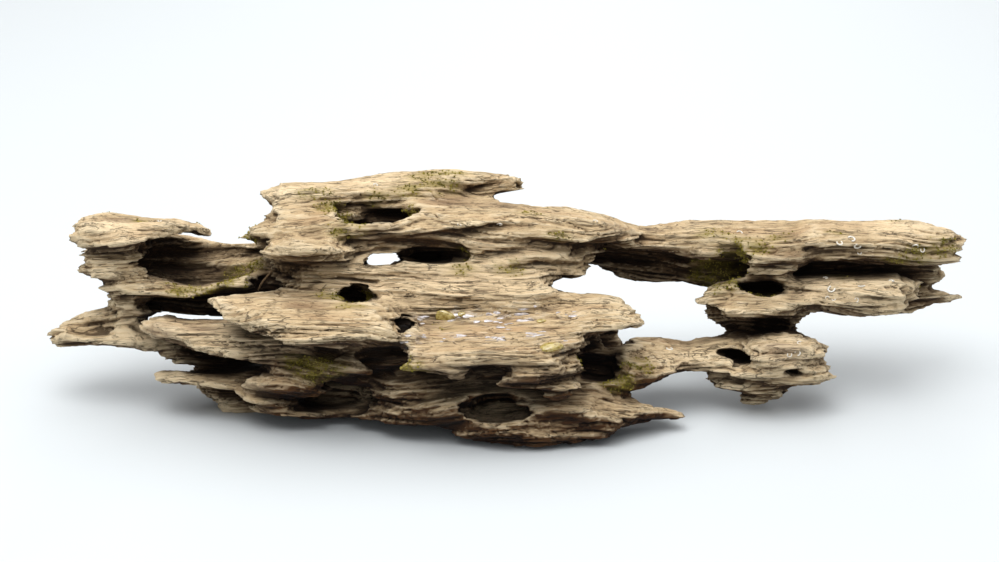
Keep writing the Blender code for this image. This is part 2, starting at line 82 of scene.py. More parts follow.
# How far each kind of wear moves the surface, in millimetres.
LEDGE_DEPTH = 1.5
END_PULL = 5.0
GROOVE_DEPTH = 1.5
TOP_GROOVE_DEPTH = 0.375
STRAND_DEPTH = 0.7
FIBRE_DEPTH = 0.4
FURROW_DEPTH = 0.18
HAIR_DEPTH = 0.16
PLATE_THICKNESS = 2.4
PLATE_STEP = 0.6
SWELL = 0.22
CRACK_DEPTH = 1.1
CRACK_WIDTH = 0.045


def gradient_noise(places, size, seed):
    """Smooth noise between about -1 and 1 over places in millimetres, given as three arrays.

    The three numbers of size are the lengths, in millimetres, over which it changes.
    """
    scaled = [place / length for place, length in zip(places, size)]
    cell = [np.floor(v).astype(np.int64) for v in scaled]
    part = [v - c for v, c in zip(scaled, cell)]
    fade = [t * t * t * (t * (t * 6 - 15) + 10) for t in part]
    total = np.zeros_like(scaled[0])
    for corner in range(8):
        step = [(corner >> axis) & 1 for axis in range(3)]
        # Large odd numbers mix the cell's place and the seed, so each corner has its own slope.
        mixed = seed * 668265263
        for value, one, prime in zip(cell, step, (73856093, 19349663, 83492791)):
            mixed = mixed ^ ((value + one) * prime)
        mixed = (mixed ^ (mixed >> 13)) * 1274126177 & 0x7FFFFFFF
        mixed = (mixed ^ (mixed >> 15)) & 0xFFFF
        turn = mixed / 65536 * 2 * math.pi
        height = (mixed % 251) / 125 - 1
        level = np.sqrt(np.maximum(0, 1 - height * height))
        slope = (np.cos(turn) * level, np.sin(turn) * level, height)
        dot = sum(s * (p - one) for s, p, one in zip(slope, part, step))
        weight = 1
        for f, one in zip(fade, step):
            weight = weight * (f if one else 1 - f)
        total = total + weight * dot
    return 1.5 * total


def crest(values, sharpness=2.4):
    """Near 1 along the lines where noise crosses zero, falling to 0 on both sides."""
    return 1 - np.minimum(1, sharpness * np.abs(values))


def rows_of(items, field, width, kind=np.float32):
    """One field of a mesh's points, edges or faces, as rows of the given width."""
    flat = np.empty(len(items) * width, kind)
    items.foreach_get(field, flat)
    return flat.reshape(-1, width)


def points_of(mesh):
    """The mesh's points, in millimetres."""
    return rows_of(mesh.vertices, "co", 3).astype(float) * 1000


def normals_of(mesh):
    """The way the mesh faces at each of its points."""
    return rows_of(mesh.vertex_normals, "vector", 3).astype(float)


def put_points(mesh, points):
    """Moves the mesh's points to new places, given in millimetres."""
    mesh.vertices.foreach_set("co", (points / 1000).astype(np.float32).ravel())
    mesh.update()


def select_only(obj):
    """Selects the object and nothing else."""
    bpy.ops.object.select_all(action="DESELECT")
    obj.select_set(True)
    bpy.context.view_layer.objects.active = obj


@contextmanager
def all_in_edit_mode(obj):
    """Runs what follows in edit mode, with the whole of the object selected."""
    select_only(obj)
    bpy.ops.object.mode_set(mode="EDIT")
    bpy.ops.mesh.select_all(action="SELECT")
    yield
    bpy.ops.object.mode_set(mode="OBJECT")


def apply_modifier(obj, kind, **settings):
    """Adds one modifier to the object and applies it."""
    select_only(obj)
    bpy.ops.object.modifier_add(type=kind)
    modifier = obj.modifiers[-1]
    for name, value in settings.items():
        setattr(modifier, name, value)
    bpy.ops.object.modifier_apply(modifier=modifier.name)


def without_crumbs(obj):
    """The object without the crumbs that came loose from its main body."""
    with all_in_edit_mode(obj):
        bpy.ops.mesh.separate(type="LOOSE")
    bodies = sorted(bpy.context.selected_objects, key=lambda body: len(body.data.vertices))
    for crumb in bodies[:-1]:
        bpy.data.objects.remove(crumb)
    return bodies[-1]


def grain_places(points):
    """Along the grain, across it and through the growth layers, bent a little as the tree grew."""
    x, y, z = points.T
    bend = gradient_noise(points.T, (75, 45, 45), 11) * 8
    bend = bend + gradient_noise(points.T, (26, 16, 16), 12) * 1.8
    sway = gradient_noise(points.T, (75, 45, 45), 13) * 6
    sway = sway + gradient_noise(points.T, (28, 16, 16), 14) * 1.4
    return x, y + sway, z + 0.22 * y + bend


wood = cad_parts["honeycomb_wood"].copy()
wood.data = wood.data.copy()
bpy.context.scene.collection.objects.link(wood)
with all_in_edit_mode(wood):
    bpy.ops.mesh.remove_doubles(threshold=DOUBLES)
apply_modifier(wood, "REMESH", mode="VOXEL", voxel_size=COARSE_VOXEL)
apply_modifier(wood, "SMOOTH", factor=0.5, iterations=4)

# Broad wear comes first: ledges along the growth layers, and ends pulled out into splinters.
# What faces sideways wears most, so sideways runs from 0 on a level face to 1 on a wall.
points, normals = points_of(wood.data), normals_of(wood.data)
in_grain = grain_places(points)
sideways = np.hypot(normals[:, 0], normals[:, 1])
steep = np.minimum(1, 1.6 * sideways)
outward = normals * (1, 1, 0) / np.maximum(sideways, 0.05)[:, None]
ledge = crest(gradient_noise(in_grain, (70, 30, 4.8), 21))
pull = gradient_noise(in_grain, (45, 3.4, 1.9), 22) + 0.5 * gradient_noise(in_grain, (30, 1.6, 1), 23)
points += outward * (LEDGE_DEPTH * (ledge - 0.5) * steep)[:, None]
points[:, 0] += END_PULL * pull * np.abs(normals[:, 0]) ** 1.3
put_points(wood.data, points)
apply_modifier(wood, "REMESH", mode="VOXEL", voxel_size=FINE_VOXEL)
apply_modifier(wood, "SMOOTH", factor=0.5, iterations=1)

# Then the fine wear: strands, fibres, thin plates that end in steps, and long cracks. Patches and
# deep places vary it, so that some of the wood stays nearly smooth.
points, normals = points_of(wood.data), normals_of(wood.data)
in_grain = grain_places(points)
sideways = np.hypot(normals[:, 0], normals[:, 1])
steep = np.minimum(1, 1.5 * sideways)
flat = normals[:, 2] ** 2
outward = normals * (1, 1, 0.35)
outward /= np.maximum(np.linalg.norm(outward, axis=1), 0.05)[:, None]
patch = np.clip(0.75 + 0.9 * gradient_noise(points.T, (60, 25, 20), 31), 0.25, 1.5)
deep = np.clip(0.7 + 1.3 * gradient_noise(points.T, (45, 18, 14), 30), 0.15, 1.4)
side_groove = crest(gradient_noise(in_grain, (95, 18, 3.0), 40), 5.5)
top_groove = crest(gradient_noise(in_grain, (85, 3.6, 14), 41), 6.5)
strand = crest(gradient_noise(in_grain, (62, 12, 1.7), 32))
fibre = crest(gradient_noise(in_grain, (36, 3.2, 0.95), 33))
furrow = crest(gradient_noise(in_grain, (60, 2.6, 9), 34))
hair = gradient_noise(in_grain, (18, 1.2, 1.2), 35)
plate = (in_grain[2] + 0.9 * gradient_noise(points.T, (24, 10, 8), 36)) / PLATE_THICKNESS
plate_edge = (plate - np.floor(plate)) ** 4
crack_line = np.abs(gradient_noise(in_grain, (38, 6, 8), 37))
crack_here = np.clip(3 * gradient_noise(points.T, (50, 22, 22), 38) + 0.2, 0, 1)
crack = np.clip(1 - crack_line / CRACK_WIDTH, 0, 1) * crack_here
swell = gradient_noise(points.T, (30, 14, 9), 39)
push = STRAND_DEPTH * patch * (strand - 0.5) * (0.1 + 0.9 * steep)
push -= GROOVE_DEPTH * deep * side_groove * steep
push -= TOP_GROOVE_DEPTH * deep * top_groove * flat
push += FIBRE_DEPTH * patch * (fibre - 0.5) * (0.5 + 0.5 * steep)
push += FURROW_DEPTH * patch * (furrow - 0.5) * flat
push += HAIR_DEPTH * hair
push += PLATE_STEP * (plate_edge - 0.2) * (0.25 + 0.75 * steep)
push += SWELL * swell
push -= CRACK_DEPTH * crack
points += outward * push[:, None]
points[:, 2] = np.maximum(points[:, 2], 0)
put_points(wood.data, points)
wood = without_crumbs(wood)
wood.name = wood.data.name = "driftwood"
wood.data.calc_loop_triangles()
apply_modifier(wood, "DECIMATE", ratio=WOOD_TRIANGLES / len(wood.data.loop_triangles))
with all_in_edit_mode(wood):
    bpy.ops.mesh.fill_holes(sides=LARGEST_HOLE_SIDES)
bpy.ops.object.shade_smooth()

# What the finish follows is kept on the wood's points: where it bulges or is worn hollow, how
# much open sky it faces, where light and shade are painted, and where moss, damp and stains are.
# Each place is one in the picture, across, up and how far it reaches, in millimetres.
SKY_RAYS = 20
SKY_REACH = 0.07
RAY_LIFT = 0.5
RELIEF_ROUNDS = 5
BULGE_ROUNDS = 60
SKY_ROUNDS = 4
MOSSY_PLACES = [
    (-180, 92, 3), (-160, 58, 6), (-150, 58, 6), (-136, 61, 6), (-130, 65, 6), (-123, 70, 6), (-128, 84, 7),
    (-93, 107, 6), (-83, 98, 7), (-80, 94, 5), (-45, 96, 5), (-44, 108, 6), (-37, 114, 7), (-30, 110, 7),
    (-25, 116, 6), (-77, 88, 6), (-15, 76, 5), (-18, 68, 4), (5, 68, 5), (-84, 55, 5), (-74, 50, 5),
    (-64, 54, 5), (-47, 18, 6), (-90, 18, 8), (-100, 21, 5), (103, 63, 7), (110, 68, 8), (118, 76, 8),
    (124, 80, 7), (105, 72, 6), (112, 60, 6), (198, 72, 5), (210, 75, 6), (222, 79, 6), (107, 86, 6),
    (60, 12, 6), (70, 20, 6), (30, 84, 4), (-60, 104, 5), (15, 96, 4), (140, 84, 4), (168, 86, 3),
]
BACK_MOSS_BOTTOM = 22
BACK_MOSS_FADE = 15
DAMP_PLACES = [
    (-38, 42, 6), (-42, 33, 6), (-24, 33, 6), (-6, 44, 7), (-4, 33, 6), (8, 42, 8), (14, 47, 7),
    (16, 35, 7), (31, 30, 6), (34, 46, 5), (-20, 44, 6), (0, 40, 6),
]
# Painted light: these places are lightened in colour, as if more light fell on them.
PAINTED_LIGHT_PLACES = [
    (-180, 36, 14), (-160, 38, 14), (-140, 36, 16), (-120, 32, 14), (150, 26, 16), (172, 24, 16),
    (195, 22, 12), (160, 55, 16), (185, 56, 16), (92, 34, 16), (112, 38, 12), (-60, 64, 18),
    (-30, 66, 18), (0, 66, 18), (25, 62, 14), (-3, -1, 20), (-70, 8, 14), (200, 90, 14),
    (-190, 90, 12), (-100, 108, 12), (-60, 112, 12), (100, 20, 14),
]
STAINED_PLACES = [
    (-170, 36, 8), (-190, 92, 6), (-98, 51, 7), (-25, 102, 9), (-40, 40, 6), (140, 28, 8), (-150, 38, 6),
    (60, 88, 6), (0, 100, 7), (150, 74, 8), (-60, 86, 6),
]
SPOT_STRETCH = (0.6, 1, 1)
SPOT_MIDDLE = 1.3
LOW_SHADE_TOP = 58
LOW_SHADE_MIDDLE = -18
LOW_SHADE_REACH = 122
LOW_SHADE_FADE = 24


def spread(values, pairs, rounds):
    """Evens values out over the surface: each round moves a point halfway to its neighbours."""
    values = np.array(values, float)
    wide = values.reshape(len(values), -1)
    ends, others = np.concatenate([pairs, pairs[:, ::-1]]).T
    count = np.maximum(np.bincount(ends, minlength=len(wide)), 1)
    for _ in range(rounds):
        for column in range(wide.shape[1]):
            total = np.bincount(ends, weights=wide[others, column], minlength=len(wide))
            wide[:, column] += 0.5 * (total / count - wide[:, column])
    return wide.reshape(values.shape)


def standing_out(points, normals, pairs, rounds):
    """How far each point stands out of the surface as it is after those rounds, in millimetres."""
    return np.einsum("ij,ij->i", normals, points - spread(points, pairs, rounds))


def keep_on_points(mesh, name, values):
    """Keeps a number or a place for each point of the mesh, under a name."""
    kind, field = ("FLOAT_VECTOR", "vector") if np.ndim(values) == 2 else ("FLOAT", "value")
    attribute = mesh.attributes.new(name, kind, "POINT")
    attribute.data.foreach_set(field, np.asarray(values, np.float32).ravel())


def seen_place(across, up):
    """Where the wood shows at a place in the picture, and the way it faces there."""
    return surface.ray_cast(eye, sight_line(across, up))[:2]


def spots(points, places):
    """How near each point is to the places, from 1 at a place's middle to 0 outside it."""
    near = np.zeros(len(points))
    for across, up, radius in places:
        hit = seen_place(across, up)[0]
        if hit is not None:
            distance = np.linalg.norm((points - np.array(hit) * 1000) * SPOT_STRETCH, axis=1)
            near = np.maximum(near, np.clip(SPOT_MIDDLE - distance / radius, 0, 1))
    return near


points, normals = points_of(wood.data), normals_of(wood.data)
wood.data.calc_loop_triangles()
corners = rows_of(wood.data.loop_triangles, "vertices", 3, np.int32)
pairs = rows_of(wood.data.edges, "vertices", 2, np.int32)
surface = BVHTree.FromPolygons((points / 1000).tolist(), corners.tolist())

# From each point a fan of rays goes out over the half round that the point faces, each a golden
# turn on from the last. Air is the share of them that meet no wood, and sky those that also rise.
steps = (np.arange(SKY_RAYS) + 0.5) / SKY_RAYS
turns = np.arange(SKY_RAYS) * math.pi * (3 - math.sqrt(5))
fan = np.stack([np.sqrt(steps) * np.cos(turns), np.sqrt(steps) * np.sin(turns), np.sqrt(1 - steps)], 1)
side = np.cross(normals, np.where(np.abs(normals[:, :1]) < 0.7, (1.0, 0, 0), (0, 1.0, 0)))
side /= np.maximum(np.linalg.norm(side, axis=1), 1e-6)[:, None]
frames = np.stack([side, np.cross(normals, side), normals], 1)
rays = np.einsum("rk,nkj->nrj", fan, frames)
starts = (points + normals * RAY_LIFT) / 1000
sky, air = np.zeros(len(points)), np.zeros(len(points))
for i, (start, bundle) in enumerate(zip(starts.tolist(), rays.tolist())):
    for ray in bundle:
        if surface.ray_cast(start, ray, SKY_REACH)[0] is None:
            air[i] += 1
            sky[i] += ray[2] > 0

# Moss follows the picture in front and noise behind, and speckles away at its edges. The keel is
# painted darker towards the floor, on faces that don't look up, in the middle of its length: painted shade.
x, y, z = points.T
speckle = 0.5 + 0.8 * gradient_noise(points.T, (5, 4, 4), 51)
speckle = speckle + 0.5 * gradient_noise(points.T, (2, 1.6, 1.6), 52)
behind = np.clip(normals[:, 1] * 3, 0, 1) * np.clip((z - BACK_MOSS_BOTTOM) / BACK_MOSS_FADE, 0, 1)
behind = behind * np.clip(2.6 * gradient_noise(points.T, (26, 14, 12), 53) - 0.9, 0, 1)
mossy = np.maximum(spots(points, MOSSY_PLACES), behind)
moss_here = np.clip(mossy * 1.5 * np.clip(speckle, 0, 1.2), 0, 1)
painted_low_shade = (LOW_SHADE_TOP - z + 9 * gradient_noise(points.T, (26, 12, 10), 54)) / LOW_SHADE_FADE
painted_low_shade = np.clip(painted_low_shade, 0, 1)
painted_low_shade *= (
    np.clip((LOW_SHADE_REACH - np.abs(x - LOW_SHADE_MIDDLE)) / LOW_SHADE_FADE, 0, 1)
    * np.clip(1.3 - 1.6 * normals[:, 2], 0, 1)
)
for name, values in {
    "grain": np.stack(grain_places(points), 1),
    "relief": standing_out(points, normals, pairs, RELIEF_ROUNDS),
    "bulge": standing_out(points, normals, pairs, BULGE_ROUNDS),
    "sky": spread(sky / SKY_RAYS, pairs, SKY_ROUNDS),
    "air": spread(air / SKY_RAYS, pairs, SKY_ROUNDS),
    "moss": moss_here,
    "painted_low_shade": painted_low_shade,
    "painted_light": spots(points, PAINTED_LIGHT_PLACES) * (normals[:, 2] > -0.2),
    "damp": spots(points, DAMP_PLACES),
    "stain": spots(points, STAINED_PLACES),
}.items():
    keep_on_points(wood.data, name, values)

# The finish: bleached tan where the wood faces the sky and umber where it faces away, partly sun bleaching
# and partly painted light and shade; cream on worn rims; painted shade in grooves and hollows; fine fibres,
# moss, violet stains, wet gloss.


def paint(red, green, blue):
    """A colour given as 0 to 255 for a screen, as the linear light that a shader takes."""
    linear = []
    for value in (red, green, blue):
        linear.append(value / 255 / 12.92 if value <= 10 else ((value / 255 + 0.055) / 1.055) ** 2.4)
    return (*linear, 1)


def set_inputs(tree, made, inputs):
    """Links a node's inputs to other nodes, or sets them to plain values."""
    for key, value in inputs.items():
        if isinstance(value, bpy.types.NodeSocket):
            tree.links.new(value, made.inputs[key])
        else:
            made.inputs[key].default_value = value


def put_node(tree, kind, inputs, out=0, **settings):
    """Adds a node, links or sets its inputs, and gives back one of its outputs."""
    made = tree.nodes.new("ShaderNode" + kind)
    for name, value in settings.items():
        setattr(made, name, value)
    set_inputs(tree, made, inputs)
    return made.outputs[out]


def blend_colour(tree, share, first, second, how="MIX"):
    """Lays the second colour on the first. A Mix node keeps its two colours in sockets 6 and 7."""
    return put_node(tree, "Mix", {0: share, 6: first, 7: second}, 2, data_type="RGBA", blend_type=how)


def calculate(tree, operation, *values):
    """One step of arithmetic on the values."""
    return put_node(tree, "Math", dict(enumerate(values)), operation=operation)


def weighted_sum(tree, *parts):
    """The values added up, each times its weight."""
    total = None
    for value, weight in parts:
        share = calculate(tree, "MULTIPLY", value, weight)
        total = share if total is None else calculate(tree, "ADD", total, share)
    return total


def remap(tree, value, low, high, to_low=0.0, to_high=1.0):
    """The value moved from one range to another, and held inside it."""
    return put_node(tree, "MapRange", {0: value, 1: low, 2: high, 3: to_low, 4: to_high})


def scale_place(tree, place, factors):
    """A place with each of its three parts multiplied."""
    return put_node(tree, "VectorMath", {0: place, 1: factors}, operation="MULTIPLY")


def stretched_noise(tree, place, size, detail=2.0, rough=0.5, out=0):
    """Noise on millimetre places that runs the given size, in mm, before it changes."""
    scaled = scale_place(tree, place, [1 / length for length in size])
    inputs = {"Vector": scaled, "Scale": 1.0, "Detail": detail, "Roughness": rough}
    return put_node(tree, "TexNoise", inputs, out)


def colour_steps(tree, value, steps):
    """A run of colours along a value, given as (place, colour) pairs from low to high."""
    made = put_node(tree, "ValToRGB", {0: value}).node
    ramp = made.color_ramp
    for place, _ in steps[2:]:
        ramp.elements.new(place)
    for element, (place, colour) in zip(ramp.elements, steps):
        element.position = place
        element.color = colour
    return made.outputs[0]


def read_points(tree, name, out="Fac"):
    """What keep_on_points kept under a name: a number, or a place with out as Vector."""
    return put_node(tree, "Attribute", {}, out, attribute_name=name)


def new_group(name, places, values):
    """An empty node group that takes in places and puts out values, and its two end nodes."""
    group = bpy.data.node_groups.new(name, "ShaderNodeTree")
    for socket in places:
        group.interface.new_socket(socket, in_out="INPUT", socket_type="NodeSocketVector")
    for socket in values:
        group.interface.new_socket(socket, in_out="OUTPUT", socket_type="NodeSocketFloat")
    return group, group.nodes.new("NodeGroupInput"), group.nodes.new("NodeGroupOutput")


def thin_lines(tree, place, size, gap_size, width):
    """Thin broken lines along the grain, 1 at a line's middle, and none where the gaps are."""
    line = stretched_noise(tree, place, size, 2.0, 0.5)
    line = calculate(tree, "ABSOLUTE", calculate(tree, "SUBTRACT", line, 0.5))
    gaps = stretched_noise(tree, place, gap_size, 1.0, 0.5)
    half_width = calculate(tree, "MAXIMUM", remap(tree, gaps, 0.46, 0.7, 0.0, width), 0.001)
    drawn = calculate(tree, "SUBTRACT", 1.0, calculate(tree, "DIVIDE", line, half_width))
    return calculate(tree, "MAXIMUM", drawn, 0.0)


def new_material(name):
    """A new material, with its node tree and its shader."""
    material = bpy.data.materials.new(name)
    material.use_nodes = True
    return material, material.node_tree, material.node_tree.nodes["Principled BSDF"]


def add_bump(tree, shader, height, strength, distance):
    """Raises the shader's surface by a height, over a distance in metres."""
    bumped = put_node(tree, "Bump", {"Strength": strength, "Distance": distance, "Height": height})
    tree.links.new(bumped, shader.inputs["Normal"])


def give_finish(piece, material):
    """Makes the material the piece's only one."""
    piece.data.materials.clear()
    piece.data.materials.append(material)


# The fibres are long soft strands with finer ones in them, thin cracks in two lengths, grit, and
# flakes: loose plates whose bent edges show in patches.
fibres, given, given_out = new_group(
    "wood_fibres", ["Place"], ["Strands", "Fibres", "Cracks", "Flakes", "Grit"]
)
place = given.outputs["Place"]
long_lines = thin_lines(fibres, place, (30, 3.2, 2.0), (22, 9, 7), 0.035)
short_lines = thin_lines(fibres, place, (12, 1.5, 1.1), (7, 3, 3), 0.045)
bend = scale_place(fibres, stretched_noise(fibres, place, (5, 2.5, 2.5), 3.0, 0.5, "Color"), (9, 4, 4))
flake_place = put_node(fibres, "VectorMath", {0: place, 1: bend}, operation="ADD")
flake_place = scale_place(fibres, flake_place, (1 / 21, 1 / 7, 1 / 7))
flake_edge = put_node(
    fibres, "TexVoronoi", {"Vector": flake_place, "Scale": 1.0}, feature="DISTANCE_TO_EDGE"
)
flake_width = remap(fibres, stretched_noise(fibres, place, (17, 7, 7), 1.0, 0.5), 0.53, 0.68, 0.0, 0.04)
flake_edge = calculate(fibres, "DIVIDE", flake_edge, calculate(fibres, "MAXIMUM", flake_width, 0.001))
set_inputs(fibres, given_out, {
    "Strands": stretched_noise(fibres, place, (55, 2.4, 1.5), 3.0, 0.6),
    "Fibres": stretched_noise(fibres, place, (14, 0.8, 0.5), 3.0, 0.7),
    "Cracks": calculate(fibres, "MAXIMUM", long_lines, calculate(fibres, "MULTIPLY", short_lines, 0.7)),
    "Flakes": calculate(fibres, "MAXIMUM", calculate(fibres, "SUBTRACT", 1.0, flake_edge), 0.0),
    "Grit": stretched_noise(fibres, place, (1.0, 0.6, 0.6), 2.0, 0.7),
})

wood_finish, tree, shader = new_material("weathered_wood")
grain = read_points(tree, "grain", "Vector")
fibres_here = tree.nodes.new("ShaderNodeGroup")
fibres_here.node_tree = fibres
set_inputs(tree, fibres_here, {"Place": grain})
texture = fibres_here.outputs
relief, bulge, painted_light_here = (read_points(tree, name) for name in ("relief", "bulge", "painted_light"))
tone = weighted_sum(
    tree, (texture["Strands"], 0.3), (texture["Fibres"], 0.4), (texture["Grit"], 0.3), (relief, 0.2)
)
umber = colour_steps(tree, tone, [
    (0.30, paint(28, 19, 12)),
    (0.45, paint(62, 43, 25)),
    (0.57, paint(92, 66, 40)),
    (0.72, paint(134, 102, 66)),
])
bleached = colour_steps(tree, tone, [
    (0.26, paint(150, 123, 88)),
    (0.42, paint(186, 159, 121)),
    (0.56, paint(203, 178, 139)),
    (0.74, paint(219, 197, 160)),
])
# Painted light and shade, partly real sun bleaching: wood facing open sky takes the bleached tan, wood facing
# away the umber.
sun_bleach_and_painted_light = calculate(tree, "ADD", read_points(tree, "sky"), calculate(tree, "MULTIPLY", bulge, 0.06))
sun_bleach_and_painted_light = remap(tree, sun_bleach_and_painted_light, 0.2, 0.6)

# Over that go thin coats of colour, from the first to the last, each where its share says.
patches = stretched_noise(tree, grain, (38, 14, 12), 2.0, 0.5)
splits = calculate(tree, "MAXIMUM", texture["Cracks"], texture["Flakes"])
rust = remap(tree, patches, 0.52, 0.72, 0.0, 0.35)
grey = remap(tree, patches, 0.47, 0.3, 0.0, 0.4)
# Painted light on the listed places, varied with the tone.
painted_light = calculate(tree, "MULTIPLY", painted_light_here, remap(tree, tone, 0.3, 0.6, 0.3, 0.75))
# Painted shade darkens the fine grooves that sink below the surface around them.
painted_groove_shade = calculate(tree, "MULTIPLY", remap(tree, relief, -0.12, -0.6), 0.62)
rim = calculate(
    tree, "MULTIPLY", remap(tree, relief, 0.15, 0.6), remap(tree, sun_bleach_and_painted_light, 0.0, 0.7, 0.12, 0.6)
)
lip = calculate(
    tree, "MULTIPLY", remap(tree, bulge, 0.9, 2.4, 0.0, 0.5), remap(tree, sun_bleach_and_painted_light, 0.0, 0.6)
)
split = calculate(tree, "MULTIPLY", splits, 0.75)
# Painted shade: near black deep in hollows where few rays get out, weaker where painted light is laid.
painted_hollow_shade = remap(tree, read_points(tree, "air"), 0.5, 0.12, 0.0, 0.85)
painted_hollow_shade = calculate(tree, "MULTIPLY", painted_hollow_shade, remap(tree, painted_light_here, 0.0, 1.0, 1.0, 0.15))
violet = remap(tree, texture["Strands"], 0.35, 0.6, 0.2, 0.75)
violet = calculate(tree, "MULTIPLY", read_points(tree, "stain"), violet)
green = calculate(tree, "MULTIPLY", read_points(tree, "moss"), 0.7)
colour = blend_colour(tree, sun_bleach_and_painted_light, umber, bleached)
for share, coat, how in [
    (rust, paint(186, 142, 104), "MULTIPLY"),
    (grey, paint(178, 176, 170), "MULTIPLY"),
    (painted_light, paint(240, 215, 175), "MIX"),
    (painted_groove_shade, paint(58, 42, 28), "MIX"),
    (rim, paint(224, 204, 170), "MIX"),
    (lip, paint(230, 209, 172), "MIX"),
    (split, paint(56, 40, 26), "MIX"),
    (painted_hollow_shade, paint(28, 19, 12), "MIX"),
    # painted shade low on the keel
    (read_points(tree, "painted_low_shade"), paint(106, 79, 53), "MULTIPLY"),
    (violet, paint(138, 122, 116), "MULTIPLY"),
    (green, paint(136, 122, 52), "MIX"),
]:
    colour = blend_colour(tree, share, colour, coat, how)
wet = remap(tree, stretched_noise(tree, grain, (5, 2.5, 2.5), 2.0), 0.48, 0.58)
wet = calculate(tree, "MULTIPLY", read_points(tree, "damp"), wet)
set_inputs(tree, shader, {
    "Base Color": colour,
    "Roughness": remap(tree, wet, 0.0, 1.0, 0.86, 0.25),
    "Coat Weight": wet,
    "Coat Roughness": 0.06,
    "Specular IOR Level": 0.3,
})
height = weighted_sum(
    tree, (texture["Fibres"], 0.6), (texture["Strands"], 0.8), (texture["Grit"], 0.35), (splits, -0.8)
)
add_bump(tree, shader, height, 1.0, 0.0009)
give_finish(wood, wood_finish)
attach(wood, "root")
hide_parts("honeycomb_wood")

# Moss sits low in the grooves and round the holes, where rain stays longest. It is soft and green,
# in tufts of a millimetre or two, each a rosette of pointed leaves, and it holds on by its roots.
MOSS_TUFTS = 2200
MOSS_SEED = 7
THINNEST_MOSS = 0.25
LOWEST_FACING = -0.5
UPWARD_LEAN = 0.4
LEAVES_IN_TUFT = 7
LEAF_LENGTH = 0.0013
LEAF_WIDTH = 0.00055
LEAF_TURN = 2.4
LEAF_LEAN = math.radians(48)


def join_all(pieces, name):
    """Joins the pieces into one, with its place in its mesh."""
    bpy.ops.object.select_all(action="DESELECT")
    for piece in pieces:
        piece.select_set(True)
    bpy.context.view_layer.objects.active = pieces[0]
    bpy.ops.object.join()
    joined = bpy.context.object
    bpy.ops.object.transform_apply(location=True, rotation=True, scale=True)
    joined.name = joined.data.name = name
    return joined


def upright_on(facing):
    """The turn that stands a piece up on a surface that faces that way."""
    return Vector(facing).to_track_quat("Z", "Y").to_matrix()


def copies_on(model, name, stands):
    """Sets a copy of the model on each (place, facing, turn, size), joins them, and drops the model."""
    pieces = []
    for place, facing, turn, size in stands:
        piece = model.copy()
        piece.data = model.data.copy()
        bpy.context.scene.collection.objects.link(piece)
        turned = (upright_on(facing) @ Matrix.Rotation(turn, 3, "Z")).to_quaternion()
        piece.matrix_world = Matrix.LocRotScale(Vector(place), turned, Vector(size))
        pieces.append(piece)
    bpy.data.objects.remove(model)
    return join_all(pieces, name)


def object_millimetres(tree):
    """The place on a piece, in millimetres."""
    return scale_place(tree, put_node(tree, "TexCoord", {}, "Object"), (1000, 1000, 1000))


leaves = []
for number in range(LEAVES_IN_TUFT):
    turn = number * LEAF_TURN
    lean = LEAF_LEAN * (0.25 + 0.75 * number / (LEAVES_IN_TUFT - 1))
    out = Vector((math.sin(lean) * math.cos(turn), math.sin(lean) * math.sin(turn), math.cos(lean)))
    bpy.ops.object.select_all(action="DESELECT")
    bpy.ops.mesh.primitive_cone_add(
        vertices=3, radius1=LEAF_WIDTH / 2, radius2=0, depth=LEAF_LENGTH,
        location=out * LEAF_LENGTH * 0.4, rotation=out.to_track_quat("Z", "Y").to_euler(),
    )
    leaves.append(bpy.context.object)
tuft = join_all(leaves, "tuft")
chance = np.random.default_rng(MOSS_SEED)
likely = np.where(moss_here > THINNEST_MOSS, moss_here ** 2 * (normals[:, 2] > LOWEST_FACING), 0)
tufts = min(MOSS_TUFTS, np.count_nonzero(likely))
stands = []
for i in chance.choice(len(points), tufts, replace=False, p=likely / likely.sum()):
    size = chance.uniform(0.45, 1.25)
    leaning = Vector(normals[i]) + Vector((0, 0, UPWARD_LEAN))
    turn = chance.uniform(0, 2 * math.pi)
    stands.append((points[i] / 1000, leaning, turn, (size, size, size * chance.uniform(0.4, 0.9))))
moss = copies_on(tuft, "moss", stands)
moss_finish, tree, shader = new_material("moss_green")
tint = stretched_noise(tree, object_millimetres(tree), (5, 4, 3), 3.0, 0.6)
set_inputs(tree, shader, {
    "Base Color": colour_steps(tree, tint, [
        (0.34, paint(88, 84, 28)),
        (0.45, paint(130, 121, 44)),
        (0.56, paint(162, 149, 64)),
        (0.68, paint(190, 173, 98)),
    ]),
    "Roughness": remap(tree, tint, 0.3, 0.7, 0.95, 0.75),
    "Specular IOR Level": 0.25,
})
give_finish(moss, moss_finish)
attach(moss, "root")

# Small pale worm casts stick to the upper faces. Each is a hard limy tube of two or three
# millimetres, curled into a hook, that a water worm built and glued down as it grew.
CAST_PLACES = [
    (-20, 90), (0, 90.5), (48, 92), (85, 28), (145, 25), (149, 26), (150, 31), (163, 63.5), (166, 58),
    (164, 53.5), (167, 53), (178.5, 52.5), (181, 59.5), (196, 62), (208, 79.5), (211.5, 77.5), (176, 83),
    (179, 79.5), (180, 76), (170, 81), (-170, 92), (-62, 110), (120, 86), (92, 34),
]
CAST_TUBE = 0.00034
CAST_LIFT = 0.0001
CAST_CURL = 0.00115
CAST_SWEEP = math.radians(265)
CAST_RINGS = 9

